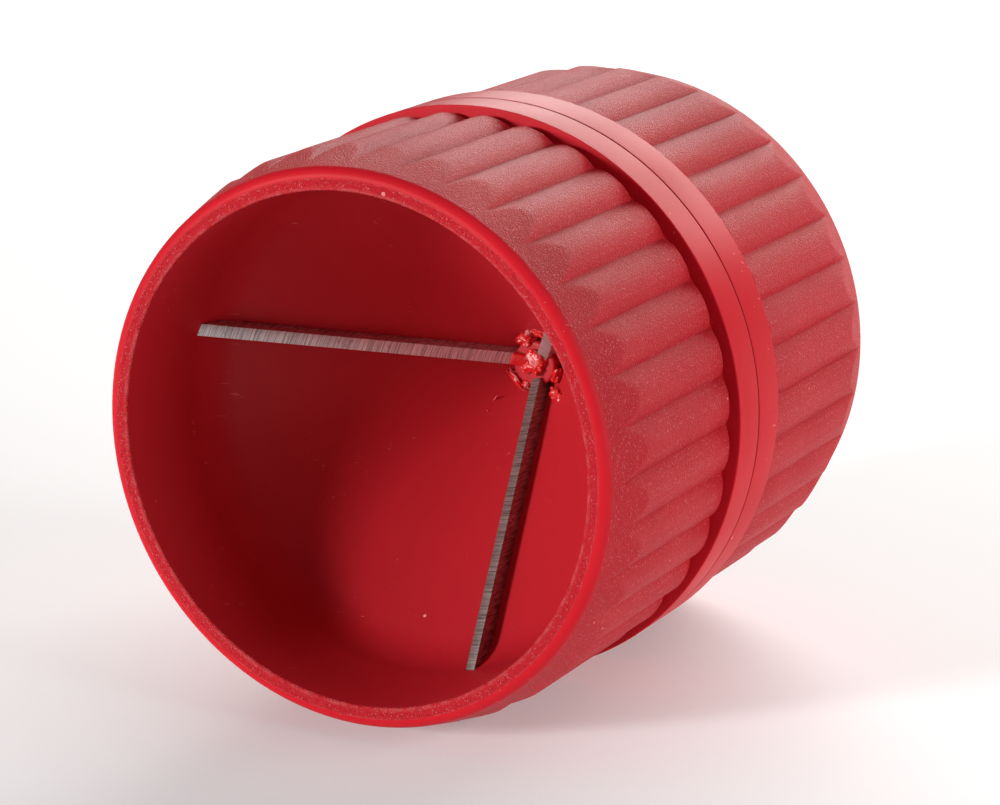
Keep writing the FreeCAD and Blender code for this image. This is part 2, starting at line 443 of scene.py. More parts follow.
@dataclass(frozen=True)
class TornPlastic(Finish):
    """The same red plastic where it tore: stretched pale in places and shiny."""

    colour: Colour = (0.60, 0.010, 0.012, 1.0)
    pale_colour: Colour = (0.86, 0.52, 0.50, 1.0)
    strain_scale: float = 700.0
    grain_fineness: float = 2400.0
    grain_depth: float = 0.02 * MM
    refraction: float = 1.5

    def material(self, groups: EffectGroups) -> bpy.types.Material:
        """Build the material.

        Args:
            groups: The shared effects.

        Returns:
            The material.
        """
        material, build, shader, place = self.start()
        strain = build.add("ShaderNodeTexNoise", Vector=place, Scale=self.strain_scale,
                           Detail=3.0, Distortion=1.0)
        pale = build.ramp(strain.outputs[0], 0.50, 0.72)
        build.fill(shader.inputs["Base Color"],
                   build.mix_colour(pale, self.colour, self.pale_colour))
        build.fill(shader.inputs["Roughness"],
                   build.ramp(strain.outputs[0], 0.3, 0.7, 0.10, 0.30))
        grain = self.place_group(build, groups.grain, place, Fineness=self.grain_fineness)
        self.bump(build, shader, grain.outputs["Height"], self.grain_depth, 1.0)
        shader.inputs["IOR"].default_value = self.refraction
        return material


@dataclass(frozen=True)
class GroundSteel(Finish):
    """Blade steel ground across its long edges, with the lines running through the thickness."""

    colour: Colour = (0.80, 0.78, 0.76, 1.0)
    dark_colour: Colour = (0.30, 0.28, 0.27, 1.0)
    lines: float = 9500.0
    line_stretch: float = 0.05
    line_depth: float = 0.006 * MM
    stain_weight: float = -0.5
    roughness: float = 0.42
    rough_swing: float = 0.18
    metallic: float = 0.85
    scratch_fineness: float = 4000.0
    scratch_amount: float = 0.5

    def material(self, groups: EffectGroups) -> bpy.types.Material:
        """Build the material.

        Args:
            groups: The shared effects.

        Returns:
            The material.
        """
        material, build, shader, place = self.start()
        parts = build.add("ShaderNodeSeparateXYZ", Vector=place)
        across = build.math("POWER", build.math("ADD", build.math("POWER", parts.outputs[0], 2.0),
                                                build.math("POWER", parts.outputs[2], 2.0)), 0.5)
        along = build.add("ShaderNodeCombineXYZ", X=across,
                          Y=build.math("MULTIPLY", parts.outputs[1], self.line_stretch))
        strokes = build.add("ShaderNodeTexNoise", Vector=along.outputs[0], Scale=self.lines,
                            Detail=4.0, Roughness=0.7)
        waves = build.add("ShaderNodeTexNoise", Vector=along.outputs[0], Scale=420.0, Detail=2.0)
        spots = build.add("ShaderNodeTexNoise", Vector=place, Scale=1500.0, Detail=3.0)
        tone = build.math("MULTIPLY", build.ramp(strokes.outputs[0], 0.35, 0.6),
                          build.ramp(waves.outputs[0], 0.3, 0.6, 0.75, 1.0))
        stain = build.ramp(spots.outputs[0], 0.62, 0.72)
        clean = build.math("MULTIPLY_ADD", stain, self.stain_weight, 1.0)
        bright = build.math("MULTIPLY", tone, clean)
        build.fill(shader.inputs["Base Color"],
                   build.mix_colour(bright, self.dark_colour, self.colour))
        rough = build.math("MULTIPLY_ADD", strokes.outputs[0], self.rough_swing, self.roughness)
        build.fill(shader.inputs["Roughness"], rough)
        scratches = self.place_group(build, groups.scratches, place,
                                     Fineness=self.scratch_fineness,
                                     Amount=self.scratch_amount)
        height = build.math("ADD", strokes.outputs[0], scratches.outputs[0])
        self.bump(build, shader, height, self.line_depth, 1.0)
        shader.inputs["Metallic"].default_value = self.metallic
        return material


@dataclass(frozen=True)
class StagePaint(Finish):
    """The pale floor that the tool lies on."""

    colour: Colour = (0.80, 0.80, 0.81, 1.0)
    shade_colour: Colour = (0.74, 0.74, 0.75, 1.0)
    shade_share: float = 0.05
    glow: float = 0.18
    roughness: float = 0.7

    def material(self) -> bpy.types.Material:
        """Build the floor's material."""
        material, build, shader, place = self.start()
        cloud = build.add("ShaderNodeTexNoise", Vector=place, Scale=8.0, Detail=2.0)
        pale = build.mix_colour(build.math("MULTIPLY", cloud.outputs[0], self.shade_share),
                                self.colour, self.shade_colour)
        build.fill(shader.inputs["Base Color"], pale)
        shader.inputs["Roughness"].default_value = self.roughness
        shader.inputs["Emission Color"].default_value = (1.0, 1.0, 1.0, 1.0)
        shader.inputs["Emission Strength"].default_value = self.glow
        return material


# --------------------------------------------------------------------------------- sizes
@dataclass(frozen=True)
class ToolSizes:
    """Sizes that more than one piece is made from, in metres."""

    front_rim: float
    rear_rim: float
    band_radius: float
    front_length: float = 29.2 * MM
    bore_radius: float = 25.0 * MM
    cone_half_angle: float = math.radians(42.8)
    edge_apex_depth: float = 38.5 * MM
    blade_width: float = 8.0 * MM
    blade_thickness: float = 1.2 * MM
    blade_stand_out: float = 1.9 * MM
    blade_relief: float = math.radians(13.0)
    blade_inner_radius: float = 1.5 * MM
    blade_foot: float = 1.2 * MM
    blade_foot_step: float = 0.6 * MM
    guide_gap: float = 0.1 * MM
    blade_angles: tuple[float, ...] = (45.0, 165.0, 285.0)

    @classmethod
    def from_frame(cls) -> "ToolSizes":
        """Take the outer sizes from the CAD nodes' boxes."""
        front_low, front_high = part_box("front_shell")
        rear_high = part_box("rear_shell")[1]
        return cls(front_rim=front_low.y, rear_rim=rear_high.y, band_radius=front_high.x)

    @property
    def seam(self) -> float:
        """Place of the seam along the axis."""
        return self.front_rim + self.front_length

    @property
    def rear_edge_apex_depth(self) -> float:
        """Depth where the rear cutting edges would meet."""
        return self.edge_apex_depth + self.blade_width / math.sin(self.cone_half_angle)

    @property
    def cup_cone_apex_depth(self) -> float:
        """Depth of the point of the cup's cone."""
        return self.edge_apex_depth + self.blade_stand_out / math.sin(self.cone_half_angle)

    @property
    def male_cone_apex_depth(self) -> float:
        """Depth of the point of the male cone."""
        return self.rear_edge_apex_depth - self.blade_stand_out / math.sin(self.cone_half_angle)

    def cone_depth(self, apex_depth: float, radius: float) -> float:
        """Depth at which a cone with this apex has this radius."""
        return apex_depth - radius / math.tan(self.cone_half_angle)

    @property
    def shoulder_depth(self) -> float:
        """Depth of the step that the rear shell's spigot meets."""
        return self.cone_depth(self.rear_edge_apex_depth, self.bore_radius)


# ------------------------------------------------------------------------------- profile
@dataclass(frozen=True)
class Corner:
    """One corner of a turned outline, and what the stretch that follows it is like."""

    radius: float
    depth: float
    rounding: float = 0.0
    zone: Zone = Zone.GRIP
    ribbed: bool = False
    spacing: float = 1.0
    round_zone: Zone | None = None

    @property
    def point(self) -> Vector:
        """The corner as radius and depth."""
        return Vector((self.radius, self.depth))


@dataclass
class Outline:
    """A turned outline: rounded corners joined by straight stretches."""

    corners: list[Corner]
    closed: bool
    arc_step: float = math.radians(9.0)

    def sampled(self) -> list[tuple[Vector, Zone, bool]]:
        """Walk along the outline.

        Returns:
            Points as radius and depth, each with the zone and ribbing of what follows.
        """
        points: list[tuple[Vector, Zone, bool]] = []
        count = len(self.corners)
        runs = [self._corner_points(index) for index in range(count)]
        for index, corner in enumerate(self.corners):
            own = corner.zone if corner.round_zone is None else corner.round_zone
            points += [(point, own, corner.ribbed) for point in runs[index][:-1]]
            points.append((runs[index][-1], corner.zone, corner.ribbed))
            if index + 1 < count or self.closed:
                start = runs[index][-1]
                finish = runs[(index + 1) % count][0]
                steps = max(1, math.ceil((finish - start).length / corner.spacing))
                for step in range(1, steps):
                    middle = start.lerp(finish, step / steps)
                    points.append((middle, corner.zone, corner.ribbed))
        if self.closed:
            points.append(points[0])
        return points

    def _corner_points(self, index: int) -> list[Vector]:
        """Points on the round of one corner, or the corner itself if it is sharp."""
        corner = self.corners[index]
        if corner.rounding <= 0.0:
            return [corner.point]
        before = self.corners[index - 1].point
        after = self.corners[(index + 1) % len(self.corners)].point
        back = (before - corner.point).normalized()
        ahead = (after - corner.point).normalized()
        half = back.angle(ahead) / 2.0
        reach = corner.rounding / math.tan(half)
        centre = corner.point + (back + ahead).normalized() * corner.rounding / math.sin(half)
        start = corner.point + back * reach - centre
        finish = corner.point + ahead * reach - centre
        turn = math.pi - 2.0 * half
        steps = max(2, math.ceil(turn / self.arc_step))
        return [centre + start.slerp(finish, step / steps).normalized() * corner.rounding
                for step in range(steps + 1)]


# ------------------------------------------------------------------- ribbed lathe, nodes
@dataclass(frozen=True)
class RibSizes:
    """Sizes of the grip's ribs."""

    count: int = 36
    crest_radius: float = 28.45 * MM
    height: float = 0.85 * MM
    first_valley: float = math.radians(1.0)
    columns_per_rib: int = 17
    softness: float = 0.12 * MM


class RibbedLathe:
    """Geometry nodes that turn an outline round the axis and press ribs into its grip."""

    NAME = "ribbed_lathe"
    MERGE_DISTANCE = 0.002 * MM
    ZONE_TOLERANCE = 0.4

    def __init__(self, materials: dict[Zone, bpy.types.Material]) -> None:
        """Build the tree.

        Args:
            materials: The finish of each zone, as the tree's usual values.
        """
        self.tree = bpy.data.node_groups.new(self.NAME, "GeometryNodeTree")
        self.build = TreeBuilder(self.tree)
        self._declare(materials)
        self._wire()

    def _declare(self, materials: dict[Zone, bpy.types.Material]) -> None:
        """Name the tree's inputs and output."""
        face = self.tree.interface
        face.new_socket(name="Outline", in_out="INPUT", socket_type="NodeSocketGeometry")
        for name in ("Ribs", "Columns per Rib"):
            face.new_socket(name=name, in_out="INPUT", socket_type="NodeSocketInt")
        for name in ("First Valley", "Crest Radius", "Rib Height", "Softness"):
            face.new_socket(name=name, in_out="INPUT", socket_type="NodeSocketFloat")
        for zone, material in materials.items():
            socket = face.new_socket(name=f"{zone.name.title()} Finish", in_out="INPUT",
                                     socket_type="NodeSocketMaterial")
            socket.default_value = material
        face.new_socket(name="Shell", in_out="OUTPUT", socket_type="NodeSocketGeometry")

    def _sampled(self, outline: Socket, kind: str, value: Socket, index: Socket) -> Socket:
        """Read a value of the outline's point with this index."""
        node = self.build.add("GeometryNodeSampleIndex", {"data_type": kind, "domain": "POINT"})
        self.build.fill(node.inputs["Geometry"], outline)
        self.build.fill(self.build.input(node, "Value"), value)
        self.build.fill(node.inputs["Index"], index)
        return node.outputs[0]

    def _attribute(self, name: str) -> Socket:
        """Read a named attribute of the outline."""
        node = self.build.add("GeometryNodeInputNamedAttribute", {"data_type": "FLOAT"})
        node.inputs["Name"].default_value = name
        return node.outputs["Attribute"]

    def _rib_radius(self, source: bpy.types.Node, turn: Socket) -> Socket:
        """Radius of the ribbed surface at an angle past the first valley."""
        maths = self.build.math
        pitch = maths("DIVIDE", math.tau, source.outputs["Ribs"])
        half_pitch = maths("MULTIPLY", pitch, 0.5)
        crest = source.outputs["Crest Radius"]
        valley = maths("SUBTRACT", crest, source.outputs["Rib Height"])
        half_chord = maths("MULTIPLY", valley, maths("SINE", half_pitch))
        bulge = maths("SUBTRACT", crest, maths("MULTIPLY", valley, maths("COSINE", half_pitch)))
        round_radius = maths("DIVIDE", maths("ADD", maths("POWER", half_chord, 2.0),
                                             maths("POWER", bulge, 2.0)),
                             maths("MULTIPLY", bulge, 2.0))
        round_centre = maths("SUBTRACT", crest, round_radius)
        off_crest = maths("SUBTRACT", maths("FLOORED_MODULO", turn, pitch), half_pitch)
        aside = maths("MULTIPLY", round_centre, maths("SINE", off_crest))
        rise = maths("SQRT", maths("SUBTRACT", maths("POWER", round_radius, 2.0),
                                   maths("POWER", aside, 2.0)))
        return maths("MULTIPLY_ADD", round_centre, maths("COSINE", off_crest), rise)

    def _wire(self) -> None:
        """Place and link the nodes."""
        build = self.build
        source = build.add("NodeGroupInput")
        outline = source.outputs["Outline"]
        rows = build.add("GeometryNodeAttributeDomainSize", {"component": "MESH"},
                         Geometry=outline).outputs["Point Count"]
        columns = build.whole("MULTIPLY", source.outputs["Ribs"],
                              source.outputs["Columns per Rib"])
        grid = build.add("GeometryNodeMeshGrid", Size_X=1.0, Size_Y=1.0,
                         Vertices_X=build.whole("ADD", columns, 1), Vertices_Y=rows)
        index = build.add("GeometryNodeInputIndex").outputs[0]
        column = build.whole("DIVIDE_FLOOR", index, rows)
        row = build.whole("MODULO", index, rows)
        place = build.add("GeometryNodeInputPosition").outputs[0]
        point = build.add("ShaderNodeSeparateXYZ",
                          Vector=self._sampled(outline, "FLOAT_VECTOR", place, row))
        ribbed = self._sampled(outline, "FLOAT", self._attribute("ribbed"), row)
        turn = build.math("MULTIPLY", build.math("DIVIDE", column, columns), math.tau)
        pressed = build.math("SMOOTH_MIN", point.outputs[0], self._rib_radius(source, turn),
                             source.outputs["Softness"])
        change = build.math("SUBTRACT", pressed, point.outputs[0])
        radius = build.math("MULTIPLY_ADD", change, ribbed, point.outputs[0])
        angle = build.math("ADD", turn, source.outputs["First Valley"])
        spot = build.add("ShaderNodeCombineXYZ",
                         X=build.math("MULTIPLY", radius, build.math("COSINE", angle)),
                         Y=point.outputs[1],
                         Z=build.math("MULTIPLY", radius, build.math("SINE", angle)))
        face_row = build.whole("MODULO", index, build.whole("SUBTRACT", rows, 1))
        zone = self._sampled(outline, "FLOAT", self._attribute("zone"), face_row)
        marked = build.add("GeometryNodeStoreNamedAttribute",
                           {"data_type": "FLOAT", "domain": "FACE"},
                           Geometry=grid.outputs["Mesh"], Value=zone)
        marked.inputs["Name"].default_value = "zone"
        placed = build.add("GeometryNodeSetPosition", Geometry=marked.outputs[0],
                           Position=spot.outputs[0])
        merged = build.add("GeometryNodeMergeByDistance", Geometry=placed.outputs[0],
                           Distance=self.MERGE_DISTANCE)
        shell = build.add("GeometryNodeRealizeInstances", Geometry=merged.outputs[0]).outputs[0]
        for each in Zone:
            chosen = build.add("FunctionNodeCompare",
                               {"data_type": "FLOAT", "operation": "EQUAL"})
            build.fill(chosen.inputs[0], self._attribute("zone"))
            build.fill(chosen.inputs[1], float(each.value))
            chosen.inputs["Epsilon"].default_value = self.ZONE_TOLERANCE
            coated = build.add("GeometryNodeSetMaterial", Geometry=shell,
                               Selection=chosen.outputs[0],
                               Material=source.outputs[f"{each.name.title()} Finish"])
            shell = coated.outputs[0]
        result = build.add("NodeGroupOutput")
        build.fill(result.inputs["Shell"], shell)

    def turn(self, name: str, outline: Outline, ribs: RibSizes,
             front_rim: float) -> bpy.types.Object:
        """Make one shell from its outline.

        Args:
            name: Name of the new object.
            outline: The outline, in radius and depth.
            ribs: Sizes of the ribs.
            front_rim: Place of the front rim along the axis, where depth is 0.

        Returns:
            An object with a plain mesh and no modifier.
        """
        samples = outline.sampled()
        mesh = bpy.data.meshes.new(name + "_outline")
        places = [(point.x, point.y + front_rim, 0.0) for point, _, _ in samples]
        mesh.from_pydata(places, [(i, i + 1) for i in range(len(places) - 1)], [])
        for key, values in (("zone", [zone.value for _, zone, _ in samples]),
                            ("ribbed", [float(ribbed) for _, _, ribbed in samples])):
            layer = mesh.attributes.new(key, "FLOAT", "POINT")
            layer.data.foreach_set("value", [float(value) for value in values])
        piece = link_object(name, mesh)
        modifier = piece.modifiers.new("turn", "NODES")
        modifier.node_group = self.tree
        values = {"Ribs": ribs.count, "Columns per Rib": ribs.columns_per_rib,
                  "First Valley": ribs.first_valley, "Crest Radius": ribs.crest_radius,
                  "Rib Height": ribs.height, "Softness": ribs.softness}
        for item in self.tree.interface.items_tree:
            if item.in_out == "INPUT" and item.name in values:
                modifier[item.identifier] = values[item.name]
        return settled(piece)


# ------------------------------------------------------------------------------- helpers
def link_object(name: str, mesh: bpy.types.Mesh) -> bpy.types.Object:
    """Make an object around a mesh and put it in the scene."""
    piece = bpy.data.objects.new(name, mesh)
    bpy.context.scene.collection.objects.link(piece)
    return piece


def settled(piece: bpy.types.Object) -> bpy.types.Object:
    """Replace an object's mesh by its evaluated one and drop its modifiers.

    Args:
        piece: The object.

    Returns:
        The same object.
    """
    graph = bpy.context.evaluated_depsgraph_get()
    mesh = bpy.data.meshes.new_from_object(piece.evaluated_get(graph), depsgraph=graph)
    mesh.name = piece.name
    old = piece.data
    piece.modifiers.clear()
    piece.data = mesh
    if old.users == 0:
        bpy.data.meshes.remove(old)
    return piece


def turn_outwards(mesh: bpy.types.Mesh) -> None:
    """Make every face of a closed mesh point outwards."""
    work = bmesh.new()
    work.from_mesh(mesh)
    bmesh.ops.recalc_face_normals(work, faces=work.faces)
    work.to_mesh(mesh)
    work.free()


def shade(mesh: bpy.types.Mesh, sharp_angle: float) -> None:
    """Shade a mesh smoothly, with edges sharper than an angle kept crisp."""
    mesh.shade_smooth()
    mesh.set_sharp_from_angle(angle=sharp_angle)


def polar(radius: float, degrees: float, along: float) -> Vector:
    """Point at a radius, an angle from +X towards +Z, and a place along the axis."""
    angle = math.radians(degrees)
    return Vector((radius * math.cos(angle), along, radius * math.sin(angle)))


# -------------------------------------------------------------------------------- blades
@dataclass
class BladeSet:
    """The three flat blades that pass through the cone."""

    sizes: ToolSizes
    steels: dict[str, bpy.types.Material]
    edge_round: float = 0.045 * MM
    slot_clearance: float = 0.02 * MM
    sharp_angle: float = math.radians(40.0)
    names: tuple[str, ...] = ("blade_upper", "blade_left", "blade_lower")

    def outline(self, front_drop: float, rear_drop: float) -> list[tuple[float, float]]:
        """Outline of one flat side.

        Args:
            front_drop: How far the front edge is ground back on this side.
            rear_drop: The same for the rear edge.

        Returns:
            Corners as radius and depth.
        """
        sizes = self.sizes
        sine = math.sin(sizes.cone_half_angle)
        front = sizes.edge_apex_depth + front_drop / sine
        rear = sizes.rear_edge_apex_depth - rear_drop / sine
        bore = sizes.bore_radius
        inner = sizes.blade_inner_radius
        foot = bore + sizes.blade_foot
        foot_front = sizes.cone_depth(sizes.edge_apex_depth, bore) + sizes.blade_foot_step
        return [
            (inner, sizes.cone_depth(front, inner)),
            (bore, sizes.cone_depth(front, bore)),
            (bore, foot_front),
            (foot, foot_front),
            (foot, sizes.shoulder_depth),
            (bore, sizes.shoulder_depth - rear_drop / sine),
            (inner, sizes.cone_depth(rear, inner)),
        ]

    def slab(self, degrees: float, leading: list[tuple[float, float]],
             trailing: list[tuple[float, float]], thickness: float) -> bmesh.types.BMesh:
        """Closed slab between two outlines, turned to its place round the axis.

        Args:
            degrees: Angle of the slab from +X towards +Z.
            leading: Outline of the side towards a growing angle.
            trailing: Outline of the other side, with as many corners.
            thickness: Distance between the sides.

        Returns:
            A new bmesh, owned by the caller.
        """
        work = bmesh.new()
        sideways = polar(1.0, degrees + 90.0, 0.0)
        rings = []
        for side, outline in ((Side.LEADING, leading), (Side.TRAILING, trailing)):
            shift = sideways * (side.value * thickness / 2.0)
            rings.append([work.verts.new(polar(radius, degrees, self.sizes.front_rim + depth)
                                         + shift) for radius, depth in outline])
        work.faces.new(rings[0])
        work.faces.new(rings[1])
        count = len(leading)
        for index in range(count):
            after = (index + 1) % count
            work.faces.new((rings[0][index], rings[0][after], rings[1][after], rings[1][index]))
        bmesh.ops.recalc_face_normals(work, faces=work.faces)
        return work

    def slot_cutter(self, finish: bpy.types.Material) -> bpy.types.Object:
        """Object that takes the three blade slots out of the front shell."""
        mesh = bpy.data.meshes.new("slots")
        work = bmesh.new()
        thickness = self.sizes.blade_thickness + 2.0 * self.slot_clearance
        plain = self.outline(0.0, 0.0)
        for degrees in self.sizes.blade_angles:
            part = bpy.data.meshes.new("slot")
            slab = self.slab(degrees, plain, plain, thickness)
            slab.to_mesh(part)
            slab.free()
            work.from_mesh(part)
            bpy.data.meshes.remove(part)
        work.to_mesh(mesh)
        work.free()
        mesh.materials.append(finish)
        return link_object("slots", mesh)

    def make(self) -> None:
        """Make the blades in place of their plain nodes."""
        drop = self.sizes.blade_thickness * math.tan(self.sizes.blade_relief)
        for name, degrees in zip(self.names, self.sizes.blade_angles):
            work = self.slab(degrees, self.outline(0.0, drop), self.outline(drop, 0.0),
                             self.sizes.blade_thickness)
            bmesh.ops.bevel(work, geom=list(work.edges), offset=self.edge_round, segments=2,
                            affect="EDGES", profile=0.6)
            mesh = bpy.data.meshes.new(name + "_steel")
            work.to_mesh(mesh)
            work.free()
            shade(mesh, self.sharp_angle)
            mesh.materials.append(self.steels[name])
            piece = link_object(name + "_steel", mesh)
            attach(piece, BODY)
            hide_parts(name)
            LOG.info("%s: %d faces", piece.name, len(mesh.polygons))


# -------------------------------------------------------------------------------- shells
@dataclass
class Shells:
    """The two ribbed shells that meet on the seam of the band."""

    sizes: ToolSizes
    lathe: RibbedLathe
    blades: BladeSet
    ribs: RibSizes = field(default_factory=RibSizes)
    band_front_width: float = 4.4 * MM
    band_rear_width: float = 4.6 * MM
    band_edge_round: float = 0.15 * MM
    seam_round: float = 0.2 * MM
    groove_width: float = 0.5 * MM
    groove_depth: float = 0.1 * MM
    rib_end_slope: float = 0.5 * MM
    rib_end_round: float = 1.3 * MM
    rim_taper_length: float = 5.9 * MM
    rim_taper_drop: float = 1.43 * MM
    rim_round: float = 1.05 * MM
    rim_inner_round: float = 0.25 * MM
    hub_radius: float = 2.4 * MM
    hub_height: float = 1.4 * MM
    hub_round: float = 0.3 * MM
    tip_flat_radius: float = 1.0 * MM
    tip_round: float = 1.5 * MM
    moat_round: float = 1.0 * MM
    spigot_wall: float = 1.3 * MM
    spigot_clearance: float = 0.05 * MM
    fine_step: float = 0.22 * MM
    plain_step: float = 2.0 * MM
    groove_round: float = 0.1 * MM
    taper_blend: float = 0.6 * MM
    sharp_angle: float = math.radians(28.0)

    def outside(self, length: float, band_width: float) -> list[Corner]:
        """Outside of a shell from its seam to its rim, with depth counted from the rim."""
        ribs = self.ribs
        groove = ribs.crest_radius - ribs.height - self.groove_depth
        blank = ribs.crest_radius + ribs.height / 4.0
        rim_corner = ribs.crest_radius - self.rim_taper_drop
        slope = self.rim_taper_drop / self.rim_taper_length
        band = length - band_width
        rib_end = band - self.groove_width
        taper_top = (blank - rim_corner) / slope
        taper_end = taper_top + self.taper_blend
        crest_end = rib_end - self.rib_end_slope
        return [
            Corner(self.sizes.band_radius, length, self.seam_round, Zone.BAND),
            Corner(self.sizes.band_radius, band, self.band_edge_round, Zone.BAND),
            Corner(groove, band, self.groove_round, Zone.BAND),
            Corner(groove, rib_end, 0.0, Zone.GRIP, True, self.fine_step),
            Corner(blank, crest_end, self.rib_end_round, Zone.GRIP, True, self.fine_step),
            Corner(blank, crest_end - 2.0 * self.rib_end_round, 0.0, Zone.GRIP, True,
                   self.plain_step),
            Corner(blank, taper_end, 0.0, Zone.GRIP, True, self.fine_step),
            Corner(blank, taper_top, 0.0, Zone.GRIP, True, self.fine_step),
            Corner(rim_corner, 0.0, self.rim_round, Zone.GRIP, round_zone=Zone.BAND),
        ]

    def front_outline(self) -> Outline:
        """Outline of the front shell, from the middle of its cup to the male cone's tip."""
        sizes = self.sizes
        bore = sizes.bore_radius
        hub_foot = sizes.cone_depth(sizes.cup_cone_apex_depth, self.hub_radius)
        hub_face = hub_foot - self.hub_height
        corner_depth = sizes.cone_depth(sizes.cup_cone_apex_depth, bore)
        guide_end = sizes.cone_depth(sizes.edge_apex_depth, bore) - sizes.guide_gap
        root = (corner_depth - guide_end) / math.tan(sizes.cone_half_angle / 2.0)
        tip_depth = sizes.cone_depth(sizes.male_cone_apex_depth, self.tip_flat_radius)
        moat_depth = sizes.cone_depth(sizes.male_cone_apex_depth, bore)
        socket = bore + self.spigot_wall + self.spigot_clearance
        inside = [
            Corner(0.0, hub_face, 0.0, Zone.BORE),
            Corner(self.hub_radius, hub_face, self.hub_round, Zone.BORE),
            Corner(self.hub_radius, hub_foot, 0.0, Zone.BORE),
            Corner(bore, corner_depth, root, Zone.BORE),
            Corner(bore, 0.0, self.rim_inner_round, Zone.GRIP),
        ]
        outside = self.outside(sizes.front_length, self.band_front_width)[::-1]
        outside = [Corner(corner.radius, corner.depth, corner.rounding, following.zone,
                          following.ribbed, following.spacing, corner.round_zone)
                   for corner, following in zip(outside, outside[1:] + outside[-1:])]
        back = [
            Corner(socket, sizes.front_length, 0.0, Zone.BORE),
            Corner(socket, sizes.shoulder_depth, 0.0, Zone.BORE),
            Corner(bore, sizes.shoulder_depth, 0.0, Zone.BORE),
            Corner(bore, moat_depth, self.moat_round, Zone.BORE),
            Corner(self.tip_flat_radius, tip_depth, self.tip_round, Zone.BORE),
            Corner(0.0, tip_depth, 0.0, Zone.BORE),
        ]
        return Outline(inside + outside + back, closed=False)

    def rear_outline(self) -> Outline:
        """Closed outline of the rear shell."""
        sizes = self.sizes
        length = sizes.rear_rim - sizes.front_rim
        rear_length = length - sizes.front_length
        spigot = sizes.bore_radius + self.spigot_wall
        outside = [Corner(corner.radius, length - corner.depth, corner.rounding, corner.zone,
                          corner.ribbed, corner.spacing, corner.round_zone)
                   for corner in self.outside(rear_length, self.band_rear_width)]
        inside = [
            Corner(sizes.bore_radius, length, self.rim_inner_round, Zone.BORE),
            Corner(sizes.bore_radius, sizes.shoulder_depth, 0.0, Zone.BORE),
            Corner(spigot, sizes.shoulder_depth, 0.0, Zone.BORE),
            Corner(spigot, sizes.front_length, 0.0, Zone.BORE),
        ]
        return Outline(outside + inside, closed=True)

    def make(self, bore_finish: bpy.types.Material) -> None:
        """Make both shells in place of their plain nodes.

        Args:
            bore_finish: Finish of the walls of the blade slots.
        """
        rim = self.sizes.front_rim
        front = self.lathe.turn("front_shell_moulding", self.front_outline(), self.ribs, rim)
        turn_outwards(front.data)
        cutter = self.blades.slot_cutter(bore_finish)
        modifier = front.modifiers.new("slots", "BOOLEAN")
        modifier.operation = "DIFFERENCE"
        modifier.solver = "EXACT"
        modifier.material_mode = "TRANSFER"
        modifier.object = cutter
        settled(front)
        bpy.data.objects.remove(cutter)
        rear = self.lathe.turn("rear_shell_moulding", self.rear_outline(), self.ribs, rim)
        turn_outwards(rear.data)
        for piece, node in ((front, "front_shell"), (rear, "rear_shell")):
            shade(piece.data, self.sharp_angle)
            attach(piece, BODY)
            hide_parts(node)
            LOG.info("%s: %d faces", piece.name, len(piece.data.polygons))


# ---------------------------------------------------------------------------- gate marks
@dataclass(frozen=True)
class TornLump:
    """One lump of torn plastic: its place on the cone and its size round, along and outwards."""

    degrees: float
    radius: float
    rise: float
    size: tuple[float, float, float]
    seed: float
    raggedness: float = 0.5


